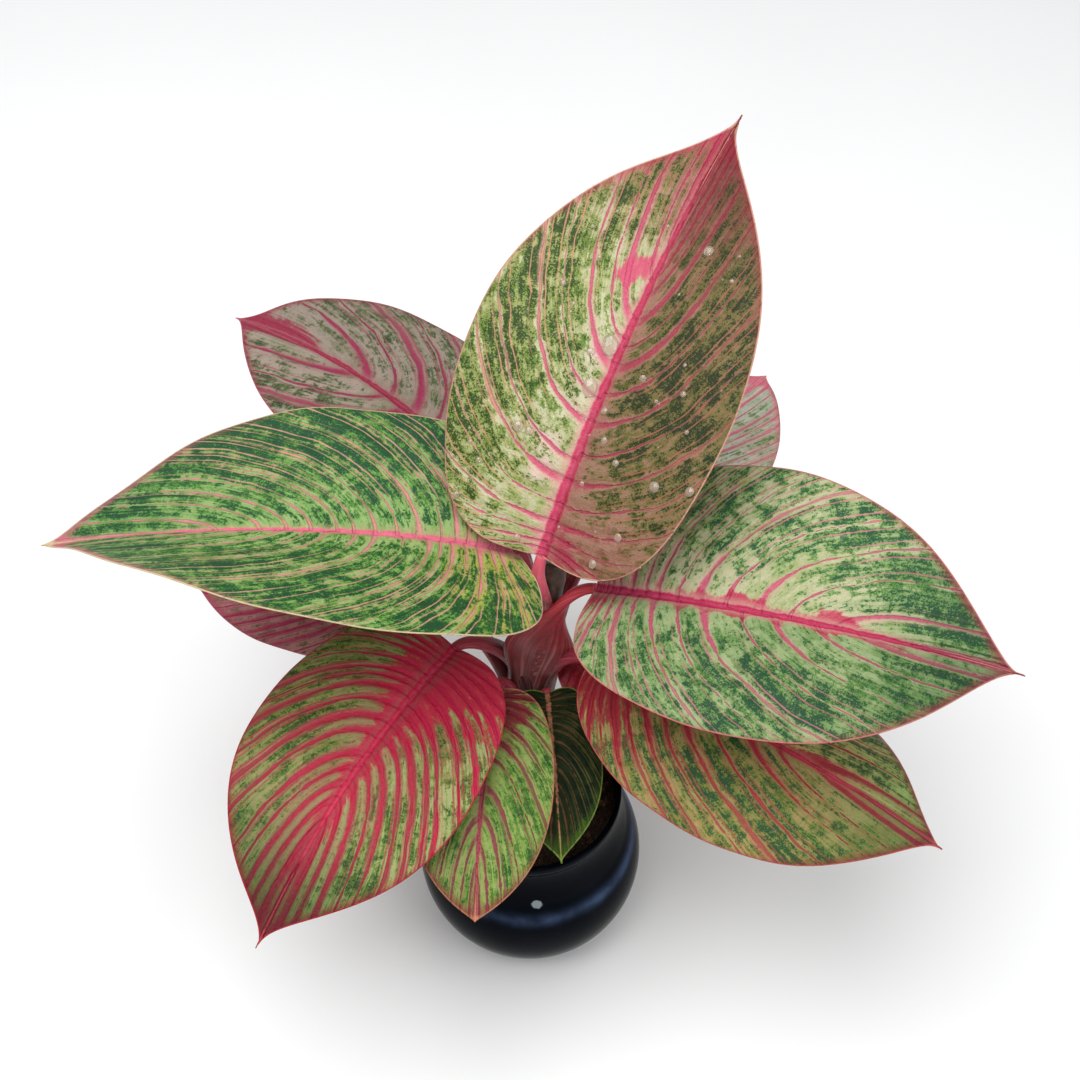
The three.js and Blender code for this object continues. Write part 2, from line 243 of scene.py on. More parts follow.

# First the form, with the same named values as the solid, and veins as (place along, strength).
# Then the look: screen colours, widths in mm and strengths. Painted shade multiplies the right
# half and the whole blade; the tip's multiplier is partly painted shade and partly the leaf's own
# tint. Pale streaks are partly the leaf's own pattern and partly painted sheen. Marks are soft
# patches of a colour at (share along the midrib, share across, size along, size across, amount),
# with the left half positive.
leaves = {
    "top": dict(
        base=(7, 63, 246), heading=62, sweep=-7, pitch=49, droop=22, twist=4, length=253, left=77, right=72,
        fold=0.17, curl=0.01, fullness=1.42, lobe=0.02, point=3.5, slot="leaf_olive_pink",
        veinsLeft=[(0.16, 0.4), (0.3, 0.6), (0.46, 1.0), (0.6, 0.75), (0.7, 0.85), (0.765, 0.9),
            (0.86, 0.7)],
        veinsRight=[(0.14, 0.7), (0.3, 0.8), (0.46, 0.75), (0.6, 0.7), (0.7, 1.0), (0.765, 0.75),
            (0.825, 0.8), (0.88, 0.7)],
        pale=0xc0be9a, mid=0x9ea468, palerRight=0xbea48a, midRight=0x9a8e60, wash=0x929a54, green=0x507212,
        dark=0x163600, vein=0xce5474, outerVein=0xca9274, halo=0xd69c96, rib=0xcc3662, edge=0xce967e,
        streakAndSheen=0xe4c6c2, flood=0xd05072, patch=0xa8605c, veinWidth=2.0, ribWidth=3.6, speckle=0.44,
        darkness=0.34, glow=0.85, rightPaintedShade=0xc8acaa, tipPaintedShadeAndTint=0xd4aeb0,
        floodMarks=[(0.63, 0.08, 0.03, 0.1, 0.75), (0.6, 0.2, 0.025, 0.09, 0.8),
            (0.98, 0.0, 0.09, 0.3, 0.7), (0.02, -0.15, 0.05, 0.25, 0.6)],
        greenMarks=[(0.2, 0.8, 0.35, 0.3, 0.2), (0.5, 0.7, 0.3, 0.35, 0.25), (0.42, -0.5, 0.32, 0.5, 0.42),
            (0.05, -0.4, 0.12, 0.6, -0.35), (0.8, 0.3, 0.14, 0.3, 0.2)],
        streakAndSheenMarks=[(0.2, 0.22, 0.16, 0.18, 0.4), (0.42, 0.15, 0.1, 0.14, 0.35),
            (0.12, -0.2, 0.1, 0.2, 0.25)],
        patchMarks=[(0.82, 0.1, 0.2, 0.9, 0.8), (0.05, -0.5, 0.15, 0.6, 0.5)],
    ),
    "right": dict(
        base=(36, 57, 226), heading=-21, sweep=9, pitch=16, droop=27, roll=4, twist=22, length=224, left=80,
        right=73, fold=0.24, curl=0.08, fullness=1.51, lobe=0.01, point=3.2, slot="leaf_pale",
        veinsLeft=[(0.1, 0.6), (0.2, 0.7), (0.33, 1.0), (0.44, 0.7), (0.56, 1.0), (0.68, 0.8), (0.8, 0.6)],
        veinsRight=[(0.09, 0.6), (0.19, 0.8), (0.31, 1.0), (0.44, 0.8), (0.58, 0.9), (0.71, 0.7),
            (0.83, 0.6)],
        pale=0xb8b690, mid=0x9ca66e, palerRight=0xa4b684, midRight=0x7e9e62, wash=0x749854, green=0x3c7424,
        dark=0x04442c, vein=0xca5274, outerVein=0xc87c84, halo=0xce9e90, rib=0xbe2054, edge=0xc4786e,
        streakAndSheen=0xdcceb2, flood=0xb8224e, patch=0x969a3e, veinWidth=1.9, ribWidth=3.1, speckle=0.43,
        darkness=0.42, glow=0.8, rightPaintedShade=0xe6e4e0, tipPaintedShadeAndTint=0xbcd0c4,
        floodMarks=[(0.34, 0.02, 0.03, 0.09, 1.3), (0.3, 0.0, 0.2, 0.06, 0.75),
            (0.56, 0.03, 0.035, 0.08, 1.2), (0.6, 0.0, 0.16, 0.05, 0.6), (0.99, 0.0, 0.04, 0.5, 0.7),
            (0.0, 0.0, 0.05, 0.2, 0.8)],
        greenMarks=[(0.5, -0.6, 0.4, 0.4, 0.26), (0.7, 0.5, 0.2, 0.4, 0.2), (0.2, 0.7, 0.2, 0.3, 0.15),
            (0.85, 0.0, 0.15, 0.5, 0.4)],
        streakAndSheenMarks=[(0.16, 0.3, 0.12, 0.25, 0.25), (0.3, 0.22, 0.1, 0.2, 0.25)],
        patchMarks=[(0.3, 0.8, 0.3, 0.3, 0.5), (0.2, -0.6, 0.2, 0.4, 0.5)],
    ),
    "left": dict(
        base=(-7, 74.7, 236), heading=185, sweep=1, pitch=21, droop=27, roll=-5, twist=28, length=246,
        left=85, right=77, fold=0.33, curl=0.07, fullness=1.33, lobe=0.07, point=2.4, slot="leaf_green",
        pale=0x96ac6c, mid=0x6c9442, palerRight=0x8ca866, midRight=0x6a9448, wash=0x548c32, green=0x286416,
        dark=0x003e24, vein=0xd48084, outerVein=0xc8967e, halo=0xaa9e70, rib=0xd2627a, edge=0xceba90,
        streakAndSheen=0xa4b480, flood=0xd2687a, patch=0xac9e46, veinWidth=1.4, ribWidth=2.6, speckle=0.56,
        darkness=0.53, glow=0.5, tipPaintedShadeAndTint=0xeef2fa,
        floodMarks=[(0.04, 0.0, 0.1, 0.1, 0.6), (0.99, 0.0, 0.05, 0.6, 0.7)],
        greenMarks=[(0.5, -0.75, 0.4, 0.3, 0.3), (0.9, 0.0, 0.15, 0.6, 0.2), (0.4, 0.7, 0.4, 0.3, 0.1)],
        streakAndSheenMarks=[(0.3, -0.2, 0.2, 0.2, 0.2)],
        patchMarks=[(0.06, 0.5, 0.16, 0.8, 1.0), (0.7, -0.4, 0.2, 0.2, 0.3)],
    ),
    "back_right": dict(
        base=(40, 108, 206), heading=50, sweep=2, pitch=12, droop=24, twist=2, length=174, left=49,
        right=50, fold=0.11, curl=0.26, fullness=1.24, lobe=0.06, point=1.9, slot="leaf_pale",
        pale=0xb8c4b4, mid=0x9eb49c, palerRight=0xb8baaa, midRight=0x9caa90, wash=0x809058, green=0x5c7a3c,
        dark=0x3c5c32, vein=0xca6280, outerVein=0xcc8282, halo=0xca9c8e, rib=0xc4446e, edge=0xc87e7e,
        streakAndSheen=0xd0c2ac, flood=0xce6278, patch=0xb48678, veinWidth=1.8, ribWidth=2.4, speckle=0.38,
        darkness=0.34, glow=0.7,
        floodMarks=[(0.98, 0.0, 0.08, 0.6, 0.7)],
        patchMarks=[(0.7, 0.0, 0.3, 0.8, 0.4)],
    ),
    "back_left": dict(
        base=(-20, 133, 220), heading=133, sweep=12, pitch=14, droop=27, roll=-1, twist=-5, length=225,
        left=59, right=63, fold=0.15, curl=0.16, fullness=1.38, lobe=0.06, point=2.3, slot="leaf_pale",
        veinsLeft=[(0.16, 0.8), (0.34, 0.9), (0.5, 1.0), (0.64, 0.9), (0.78, 0.7)],
        veinsRight=[(0.14, 0.8), (0.31, 0.9), (0.48, 1.0), (0.62, 0.9), (0.75, 0.7)],
        pale=0xc4b4a0, mid=0xa0a880, palerRight=0xb8ac98, midRight=0x9c9678, wash=0x70844c, green=0x526e34,
        dark=0x1e4226, vein=0xb8225c, outerVein=0xba5468, halo=0xbe827c, rib=0xb4164a, edge=0xb85868,
        streakAndSheen=0xc2a898, flood=0xb42e50, patch=0xa06c6a, veinWidth=3.4, ribWidth=3.0, speckle=0.42,
        darkness=0.44, glow=0.8, bladePaintedShade=0xc8c2c6,
        floodMarks=[(0.98, 0.0, 0.1, 0.6, 0.7), (0.8, -0.08, 0.13, 0.14, 0.65)],
        patchMarks=[(0.7, 0.4, 0.4, 0.6, 0.4)],
    ),
    "lower_left": dict(
        base=(-40, 41, 194), heading=-127, sweep=9, pitch=0, droop=30, roll=-2, twist=-16, length=187,
        left=61, right=63, fold=0.14, curl=0.13, fullness=1.31, lobe=0.02, point=3.5, slot="leaf_crimson",
        pale=0x9ea46a, mid=0x848c44, palerRight=0x968e5c, midRight=0x807a40, wash=0x6e8434, green=0x48681e,
        dark=0x1a3c10, vein=0xb8163e, outerVein=0xa22c3c, halo=0xa04c4e, rib=0xbe0e3c, edge=0xb4283c,
        streakAndSheen=0xaa8668, flood=0xc01240, patch=0xa03442, veinWidth=4.0, ribWidth=3.4, speckle=0.42,
        darkness=0.44, glow=1.0, tipPaintedShadeAndTint=0x8cb284,
        floodMarks=[(0.05, 0.55, 0.16, 0.4, 0.8), (0.35, 0.9, 0.3, 0.25, 0.34), (0.12, 0.2, 0.18, 0.2, 0.7),
            (0.35, 0.0, 0.35, 0.11, 0.6), (0.98, 0.0, 0.07, 0.6, 0.7), (0.12, -0.2, 0.14, 0.2, 0.5),
            (0.7, 0.0, 0.2, 0.06, 0.4)],
        greenMarks=[(0.65, 0.4, 0.2, 0.3, 0.25), (0.4, -0.6, 0.3, 0.3, 0.15)],
        streakAndSheenMarks=[(0.5, 0.3, 0.14, 0.2, 0.2)],
        patchMarks=[(0.2, 0.6, 0.3, 0.6, 0.6), (0.9, 0.0, 0.15, 0.8, 0.5), (0.3, 0.0, 0.3, 0.3, 0.4)],
    ),
    "lower_right": dict(
        base=(34, 36, 190), heading=-27, sweep=-2, pitch=4, droop=27, twist=3, length=209, left=59,
        right=60, fold=0.07, curl=0.41, fullness=1.21, lobe=0.01, point=2.7, slot="leaf_olive_pink",
        veinsLeft=[(0.14, 0.7), (0.28, 0.8), (0.44, 0.8), (0.58, 1.0), (0.7, 0.7), (0.82, 0.7)],
        veinsRight=[(0.1, 1.0), (0.21, 1.0), (0.33, 1.0), (0.46, 0.7), (0.58, 0.9), (0.72, 0.7),
            (0.84, 0.6)],
        pale=0xbcb070, mid=0xa49654, palerRight=0xa28c58, midRight=0x8a743e, wash=0x768234, green=0x4c6a1e,
        dark=0x104224, vein=0xb01a38, outerVein=0xa44a42, halo=0xb66052, rib=0xc21e3e, edge=0xba5450,
        streakAndSheen=0xb68e6a, flood=0xa01c30, patch=0x963832, veinWidth=2.7, ribWidth=2.9, speckle=0.46,
        darkness=0.54, glow=0.85, tipPaintedShadeAndTint=0xbcead0,
        floodMarks=[(0.05, 0.0, 0.12, 0.6, 0.55), (0.99, 0.0, 0.04, 0.6, 0.7), (0.14, -0.5, 0.2, 0.5, 0.34),
            (0.58, 0.03, 0.13, 0.09, 0.6)],
        greenMarks=[(0.45, -0.55, 0.2, 0.3, 0.25), (0.6, 0.4, 0.15, 0.3, 0.2)],
        patchMarks=[(0.2, 0.0, 0.25, 0.9, 0.6)],
    ),
    "under_left": dict(
        base=(-50, 75, 184), heading=161, sweep=5, pitch=3, droop=25, twist=-2, length=166, left=46,
        right=46, fold=0.1, curl=0.3, fullness=1.34, lobe=0.06, point=2.1, slot="leaf_crimson",
        pale=0xbe8280, mid=0xa86064, wash=0x866c54, green=0x64643c, dark=0x404022, vein=0xc4265a,
        outerVein=0xbc4664, halo=0xbc586a, rib=0xbe1e4c, edge=0xbe5c70, streakAndSheen=0xc48c88, flood=0xb62a54,
        patch=0xb25060, veinWidth=2.8, ribWidth=2.6, speckle=0.38, darkness=0.3, glow=0.9,
        floodMarks=[(0.5, 0.7, 0.5, 0.4, 0.35), (0.98, 0.0, 0.1, 0.6, 0.8)],
        patchMarks=[(0.4, 0.6, 0.4, 0.5, 0.5)],
    ),
    "front": dict(
        base=(-17, 21, 183), heading=-99, sweep=8, pitch=-7, droop=26, twist=-1, length=123, left=37,
        right=37, fold=0.11, curl=0.21, fullness=1.15, lobe=0.04, point=1.2, slot="leaf_green",
        veinsLeft=[(0.16, 0.8), (0.34, 0.9), (0.54, 0.8), (0.72, 0.5), (0.86, 0.3)],
        veinsRight=[(0.14, 0.8), (0.3, 1.0), (0.48, 0.8), (0.66, 0.7), (0.8, 0.4), (0.9, 0.25)],
        pale=0xacb062, mid=0x8e9a42, palerRight=0xaaa662, midRight=0x8c8e42, wash=0x709232, green=0x46761a,
        dark=0x1a4c12, vein=0xa63850, outerVein=0x9c5250, halo=0xb68460, rib=0xbe3a50, edge=0xbe7a5c,
        streakAndSheen=0xbaa670, flood=0xa02236, patch=0xac6054, veinWidth=2.3, ribWidth=2.0, speckle=0.48,
        darkness=0.4, glow=0.75, bladePaintedShade=0xcee6d8,
        floodMarks=[(0.04, 0.0, 0.14, 0.5, 0.7), (0.2, 0.45, 0.2, 0.25, 0.3)],
        greenMarks=[(0.7, 0.0, 0.3, 0.6, 0.15)],
        patchMarks=[(0.2, 0.3, 0.25, 0.6, 0.5)],
    ),
    "inner_small": dict(
        base=(25, 54, 169), heading=-54, sweep=-4, pitch=-5, droop=24, twist=-1, length=69, left=19,
        right=19, fold=0.13, curl=0.22, fullness=1.26, lobe=0.06, point=1.8, slot="leaf_crimson",
        pale=0xb05058, mid=0xa02e3e, wash=0x923438, green=0x7e3e30, dark=0x642424, vein=0xbe223c,
        outerVein=0xc44654, halo=0xb8404e, rib=0xbe1a36, edge=0xcc6870, streakAndSheen=0xc4686a, flood=0xac1a32,
        patch=0xaa3042, veinWidth=1.8, ribWidth=1.5, speckle=0.26, darkness=0.1, glow=0.9,
        floodMarks=[(0.3, 0.0, 0.5, 0.9, 0.6)],
    ),
    "front_small": dict(
        base=(10, 22, 178), heading=-84, sweep=-2, pitch=-13, droop=18, twist=1, length=91, left=26,
        right=25, fold=0.12, curl=0.19, fullness=1.28, lobe=0.06, point=2.4, slot="leaf_green",
        pale=0x1a260e, mid=0x0f1a09, palerRight=0x1a240e, midRight=0x0e1809, wash=0x0e1c09, green=0x0a1806,
        dark=0x040b04, vein=0x543e28, outerVein=0x4a4c26, halo=0x1e2610, rib=0xa6644e, edge=0x74883c,
        streakAndSheen=0x2c3a16, flood=0x3a581c, patch=0x547424, veinWidth=1.3, ribWidth=1.4, speckle=0.55,
        darkness=0.6, glow=0.5, gloss=0.08,
        floodMarks=[(1.0, 0.0, 0.04, 0.8, 0.7)],
        greenMarks=[(0.8, 0.0, 0.2, 0.6, -0.2)],
        patchMarks=[(0.85, 0.5, 0.15, 0.4, 0.6), (0.85, -0.5, 0.15, 0.4, 0.6)],
    ),
}


def leafAxes(leaf, t):
    heading = np.radians(leaf["heading"] + leaf["sweep"] * t)
    pitch = np.radians(leaf["pitch"] - leaf["droop"] * t)
    roll = np.radians(leaf["roll"] + leaf["twist"] * t)[..., None]
    along = np.stack([np.cos(pitch) * np.cos(heading), np.cos(pitch) * np.sin(heading), np.sin(pitch)], -1)
    level = np.stack([-np.sin(heading), np.cos(heading), 0 * heading], -1)
    upright = np.cross(along, level)
    across = level * np.cos(roll) + upright * np.sin(roll)
    out = upright * np.cos(roll) - level * np.sin(roll)
    return along, across, out


def leafMidrib(leaf, t):
    steps = 12
    walk = 0
    for i in range(steps):
        walk = walk + leafAxes(leaf, t * (i + 0.5) / steps)[0]
    return np.array(leaf["base"]) * mm + walk * (leaf["length"] * mm * t / steps)[..., None]


# Point on the blade's middle surface: v picks the vein line from base to tip, and reach is the
# share from midrib to margin, positive on the left. Gives t and share across as well.
def leafPoint(leaf, v, reach):
    side = np.sign(reach)
    s = np.abs(reach)
    turn = math.pi * v
    marginAlong = (0.5 * (1 - np.cos(turn))) ** leaf["fullness"] \
        - leaf["lobe"] * np.sin(math.pi * np.minimum(1, v / 0.46))
    marginOut = np.abs(np.sin(turn)) ** (1 + leaf["point"] * v ** 4)
    start = 0.15 * v + 0.85 * v ** 2.8
    t = start + (marginAlong - start) * s ** bladeForm["veinBend"]
    outShare = marginOut * s
    width = np.where(side > 0, leaf["left"], leaf["right"]) * mm
    _, across, out = leafAxes(leaf, t)
    lift = width * (leaf["fold"] * outShare - leaf["curl"] * outShare ** 2)
    point = leafMidrib(leaf, t) + across * (side * width * outShare)[..., None] + out * lift[..., None]
    return point, out, t, side * outShare


# Vein places along one half of a blade, strong ones with a thin one between each pair
def veinLines(leaf, sideName, rng):
    strong = leaf.get(sideName)
    if strong is None:
        count = 8 if leaf["length"] > 150 else 6 if leaf["length"] > 80 else 4
        strong = []
        for i in range(count):
            share = (i + 0.9) / (count + 0.9)
            v = 0.92 * share ** 0.62 * (0.88 + 0.12 * share) + rng.uniform(-0.018, 0.018)
            strong.append((v, rng.uniform(0.5, 1.0)))
    lines = [(0.02, 0.2)]
    for i, (v, strength) in enumerate(strong):
        before = strong[i - 1][0] if i else 0.06
        lines.append((before + (v - before) * rng.uniform(0.4, 0.6), rng.uniform(0.2, 0.42)))
        lines.append((v, strength))
    last = strong[-1][0]
    lines.append((last + (1 - last) * 0.45, 0.4))
    return np.array(lines)


def softMarks(marks, t, x):
    total = np.zeros_like(t)
    for markAlong, markAcross, sizeAlong, sizeAcross, amount in marks:
        total += amount * np.exp(-((t - markAlong) / sizeAlong) ** 2 - ((x - markAcross) / sizeAcross) ** 2)
    return total


def makeBlade(name, leaf, materials, seed):
    form = bladeForm
    rng = random.Random(seed)
    size = leaf["length"] / form["fullLength"]
    columns, rows = (int(least + more * size) for least, more in (form["columns"], form["rows"]))
    bm = startGrid(columns, rows)
    bmesh.ops.remove_doubles(bm, verts=bm.verts, dist=1e-6)
    across, v = gridShares(bm)
    u = 2 * across - 1
    reach = np.sign(u) * np.abs(u) ** form["crowding"]
    s = np.abs(reach)
    point, out, t, x = leafPoint(leaf, v, reach)

    # Distances on the surface: between neighbouring veins, to the midrib and to the margin
    step = 0.004
    vInside = np.clip(v, step, 1 - step)
    sInside = np.clip(s, step, 1 - step) * np.where(reach < 0, -1, 1)
    ahead, behind = (leafPoint(leaf, vInside + shift, sInside)[0] for shift in (step, -step))
    outer, inner = (leafPoint(leaf, vInside, sInside * (1 + shift))[0] for shift in (step, -step))
    alongV = (ahead - behind) / (2 * step)
    alongS = (outer - inner) / (2 * step * np.abs(sInside))[:, None]

    # Length of one vector's part that lies square to the other
    def squareSpan(vectors, others):
        others = unit(others)
        return np.linalg.norm(vectors - others * np.sum(vectors * others, axis=1)[:, None], axis=1)

    spanV = squareSpan(alongV, alongS)
    edgeDistance = (1 - s) * squareSpan(alongS, alongV)
    ribDistance = np.abs(x) * np.where(reach > 0, leaf["left"], leaf["right"]) * mm

    # Phase counts the veins from base to tip, with a whole number on each vein
    def swept(v):
        return v - form["veinSweep"] * s ** 2 * np.sin(math.pi * np.clip(v, 0, 1))

    near = 0.012
    phase = np.zeros_like(v)
    weight = np.zeros_like(v)
    gap = np.zeros_like(v)
    for sideName, isSide in (("veinsLeft", reach >= 0), ("veinsRight", reach < 0)):
        lines = veinLines(leaf, sideName, rng)
        index = np.arange(len(lines))
        spots = lines[:, 0]
        before, place, after = (np.interp(swept(v + shift), spots, index) for shift in (-near, 0, near))
        phase[isSide] = place[isSide]
        weight[isSide] = np.interp(place, index, lines[:, 1])[isSide]
        gap[isSide] = (spanV / np.maximum((after - before) / (2 * near), 0.5))[isSide]

    # Relief: the midrib lies in a channel, the blade puffs up between veins, the margins wave
    ribHalf = leaf["ribWidth"] * mm * (1 - 0.8 * t)
    opening = np.clip(np.sin(math.pi * np.clip(v, 0, 1)) * 2.2, 0, 1)
    channel = -form["channel"] * size * np.exp(-(ribDistance / (ribHalf + 1.2 * mm)) ** 2) * (1 - t)
    puff = form["quilt"] * np.minimum(gap, form["widestPuff"]) * (0.5 - 0.5 * np.cos(2 * math.pi * phase))
    puff = puff * weight * np.clip((1 - s) / 0.25, 0, 1) * np.clip(ribDistance / (4 * mm), 0, 1)
    broad, short = form["waveTurns"]
    wave = form["wave"] * size * s ** 4 * (
        np.sin(v * broad + seed * 1.7 + np.where(reach > 0, 0, 2.1)) + 0.5 * np.sin(v * short + seed))
    point = point + out * ((channel + puff + wave) * opening + 0.5 * form["thickness"])[:, None]
    placeVerts(bm, point)
    thinTip = 1 - 0.45 * np.clip((v - 0.9) / 0.1, 0, 1)
    thick = np.clip((1 - s) / 0.3, 0.55, 1) * form["thickness"] * thinTip
    keel = form["rib"] * min(1, leaf["length"] / form["ribFull"]) * (1 - 0.8 * t) * np.exp(
        -(ribDistance / form["rib"]) ** 2)
    full = form["thickness"] + form["rib"]
    values = {
        "veinPhase": phase, "veinWeight": weight, "veinGap": gap, "ribDistance": ribDistance,
        "edgeDistance": edgeDistance, "alongLeaf": t, "acrossLeaf": x,
        "thickness": (thick + keel * opening) / full,
    }
    for mark in ("flood", "green", "streakAndSheen", "patch"):
        values[mark + "Mark"] = softMarks(leaf[mark + "Marks"], t, x)
    layers = {key: bm.verts.layers.float.new(key) for key in values}
    for key, data in values.items():
        valueLayer = layers[key]
        for vert, value in zip(bm.verts, data):
            vert[valueLayer] = value
    ends = [vert for vert, share in zip(bm.verts, v) if share < 1e-4 or share > 1 - 1e-4]
    bmesh.ops.remove_doubles(bm, verts=ends, dist=2e-5)
    bmesh.ops.dissolve_degenerate(bm, dist=1e-7, edges=bm.edges)
    bmesh.ops.recalc_face_normals(bm, faces=bm.faces)
    if sum(face.normal.z for face in bm.faces) < 0:
        bmesh.ops.reverse_faces(bm, faces=bm.faces)
    piece = finishPiece(bm, name + "_leaf", name, materials)
    group = piece.vertex_groups.new(name="thickness")
    shares = np.zeros(len(piece.data.vertices), dtype=np.float32)
    piece.data.attributes["thickness"].data.foreach_get("value", shares)
    for index, share in enumerate(shares):
        group.add([index], float(share), "REPLACE")
    solidify = piece.modifiers.new("thickness", "SOLIDIFY")
    solidify.thickness = full
    solidify.offset = -1
    solidify.vertex_group = "thickness"
    solidify.material_offset = 1
    solidify.use_even_offset = False
    return piece


# Noise scales on the leaves: in space, and (across, along) the veins
leafGrain = {"fine": 1200, "speckles": 400, "clusters": 110, "broad": 32, "meander": 26,
             "streaks": (6.5, 140.0), "bands": (2.0, 42.0)}


# Upper face, from the ground up: two tones, patches, pale streaks that are partly the leaf's own
# pattern and partly painted sheen, a green wash in the fields between the veins, grains drawn out
# along them, haloes, veins, flooded parts, margin and midrib, then painted shade on the right
# half, the tip and the whole blade. The under face is a paler copy.
def leafMaterial(name, leaf, seed, isUnder):
    material, tree = newMaterial(name)
    place = ownCoordinate(tree, (seed * 0.37, seed * 0.21, seed * 0.53))
    keys = ("ribDistance", "edgeDistance", "alongLeaf", "acrossLeaf", "veinWeight", "veinGap")
    ribDistance, edgeDistance, along, across, weight, gap = (attribute(tree, key) for key in keys)
    fine = noise(place, leafGrain["fine"], 3, 0.6)
    speckles = noise(place, leafGrain["speckles"], 4, 0.7, 0.3)
    clusters = noise(place, leafGrain["clusters"], 3, 0.6, 0.4)
    broad = noise(place, leafGrain["broad"], 2, 0.5)

    # The veins meander a little, more so away from the midrib
    meander = centred(noise(place, leafGrain["meander"], 2, 0.5), 0.5)
    phase = add(attribute(tree, "veinPhase"), times(meander, rise(ribDistance, 0.002, 0.03)))

    # Coordinates that follow the veins: across them and along them, in about equal lengths
    def veinPlace(scales, shift):
        inputs = {0: times(phase, scales[0]), 1: times(ribDistance, scales[1]), 2: seed + shift}
        return addNode("CombineXYZ", inputs).outputs[0]

    streaks = noise(veinPlace(leafGrain["streaks"], 0.3), 1.0, 4, 0.66, 0.4)
    bands = noise(veinPlace(leafGrain["bands"], 0.7), 1.0, 3, 0.6, 0.3)

    # Distance to the nearest vein, with a wobble, and width of that vein
    def lineDistance(count, spacing):
        return times(calc("ABSOLUTE", minus(count, calc("ROUND", count))), spacing)

    wobble = add(centred(speckles, 0.0016), centred(clusters, 0.0024))
    veinDistance = add(lineDistance(phase, gap), wobble)
    nearRib = calc("EXPONENT", times(ribDistance, -85.0))
    widthShare = add(0.36, times(nearRib, 1.15), centred(bands, 1.7), times(rise(along, 0.5, 1.0), -0.3))
    halfWidth = calc("MINIMUM", times(weight, widthShare, leaf["veinWidth"] * mm), times(gap, 0.17))
    veinRatio = calc("DIVIDE", veinDistance, calc("MAXIMUM", halfWidth, 0.00016))
    vein = fall(veinRatio, 0.25, 1.6)
    halo = times(fall(veinRatio, 0.8, 4.0), leaf["glow"])
    # Thin veins run in the outer part of each field
    offRib = calc("ABSOLUTE", across)
    thinDistance = add(lineDistance(add(times(phase, 2.0), 0.5), times(gap, 0.5)), times(wobble, 0.5))
    thinPlace = times(rise(offRib, 0.12, 0.5), rise(bands, 0.36, 0.56))
    thinVein = times(fall(thinDistance, 0.0002, 0.0007), thinPlace)
    # 0 beside a strong vein, 1 in the middle of a field
    field = rise(calc("DIVIDE", veinDistance, times(weight, 0.006)), 0.15, 0.85)

    # Ground tones, different on the two halves
    isRight = fall(across, -0.06, 0.06)
    toneShare = rise(add(centred(clusters, 0.8), centred(broad, 0.8), centred(streaks, 0.8)), -0.14, 0.18)
    leftTone = blend(toneShare, leaf["pale"], leaf["mid"])
    rightTone = blend(toneShare, leaf.get("palerRight", leaf["pale"]), leaf.get("midRight", leaf["mid"]))
    color = blend(isRight, leftTone, rightTone)
    patchGrain = add(attribute(tree, "patchMark"), centred(clusters, 1.1), centred(streaks, 0.6))
    color = layer(color, rise(patchGrain, 0.35, 0.7), leaf["patch"], 0.75)
    # Pale streaks along the veins: partly the leaf's own pale pattern, partly painted sheen
    paleGrain = add(centred(streaks, 1.0), centred(bands, 0.8), attribute(tree, "streakAndSheenMark"))
    color = layer(color, rise(paleGrain, 0.28, 0.5), leaf["streakAndSheen"], 0.8)

    # Green wash in the fields, then grains in three sizes
    amount = add(times(attribute(tree, "greenMark"), 0.8), leaf["speckle"] - 0.5, times(nearRib, -0.35),
                 times(field, 0.3), -0.2)
    wash = rise(add(amount, centred(bands, 0.9), centred(streaks, 0.7), centred(clusters, 0.5)), -0.1, 0.25)
    color = layer(color, wash, leaf["wash"], 0.8)
    grains = add(amount, centred(speckles, 1.6), centred(clusters, 1.0), centred(streaks, 1.5))
    grainTone = blend(rise(add(fine, centred(clusters, 0.8)), 0.36, 0.62), leaf["wash"], leaf["green"])
    color = layer(color, rise(grains, -0.03, 0.1), grainTone, 0.9)
    darkGrains = add(grains, centred(fine, 1.2), centred(bands, 1.0), 0.5 * leaf["darkness"] - 0.36)
    color = layer(color, rise(darkGrains, 0.0, 0.14), leaf["dark"], 0.88)
    color = layer(color, rise(add(speckles, centred(fine, -0.5)), 0.6, 0.7), leaf["pale"], 0.35)

    # Pink: halo and veins, flooded parts, margin, midrib
    color = layer(color, times(halo, rise(speckles, 0.25, 0.6)), leaf["halo"], 0.9)
    color = layer(color, thinVein, leaf["outerVein"], 0.8)
    color = layer(color, vein, blend(rise(offRib, 0.35, 0.8), leaf["vein"], leaf["outerVein"]), 0.95)
    flood = add(attribute(tree, "floodMark"), centred(clusters, 0.9), centred(streaks, 1.2),
                times(halo, 0.35), times(nearRib, 0.2), -0.2)
    color = layer(color, rise(flood, 0.25, 0.55), leaf["flood"], 0.9)
    margin = fall(add(edgeDistance, wobble, centred(bands, 0.004)), 0.0008, 0.005)
    color = layer(color, times(margin, rise(along, 0.4, 1.0)), leaf["flood"], 0.7)
    ribHalf = calc("MULTIPLY_ADD", along, -0.8 * leaf["ribWidth"] * mm, leaf["ribWidth"] * mm)
    ribRatio = calc("DIVIDE", add(ribDistance, times(wobble, 0.6), centred(bands, 0.0022)), ribHalf)
    color = layer(color, fall(ribRatio, 0.7, 2.8), leaf["halo"], 0.7)
    rib = fall(ribRatio, 0.7, 1.15)
    ribTone = blend(rise(add(speckles, centred(bands, 0.8)), 0.4, 0.7), leaf["rib"], leaf["flood"])
    color = blend(rib, color, ribTone)
    color = layer(color, fall(ribRatio, 0.0, 0.6), 0xe28c9c, 0.16)
